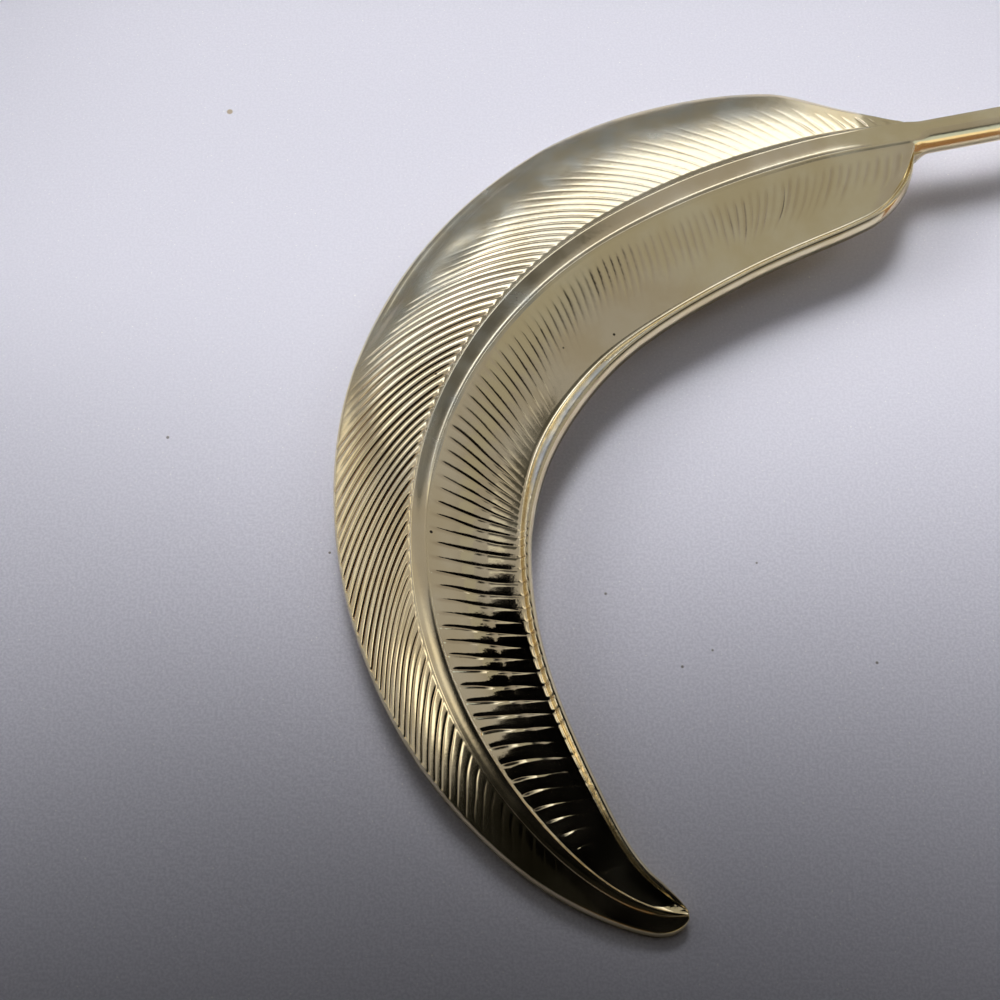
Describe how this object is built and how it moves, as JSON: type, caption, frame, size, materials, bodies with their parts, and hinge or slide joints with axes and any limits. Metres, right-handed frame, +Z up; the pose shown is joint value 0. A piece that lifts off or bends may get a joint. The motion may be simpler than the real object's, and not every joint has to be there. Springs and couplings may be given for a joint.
{
  "type": "feather brooch",
  "caption": "Curved feather brooch in pale gold metal with raised rachis, dished inner vane, engraved barbs, a rod quill and a plain pin on its hollow back.",
  "frame": {"origin": "centre of the bounding box in plan, on the surface that the brooch lies on, back down", "axes": "+Z up through the decorated face, +X along the quill's side, +Y from the tip's side towards the quill's side"},
  "size_m": [0.059, 0.065, 0.0064],
  "materials": {
    "pale_gold": "polished, lightly worn",
    "finding_metal": "satin"
  },
  "bodies": {
    "root": {"feather": "pale_gold", "pin_back": "finding_metal"}
  },
  "joints": []
}
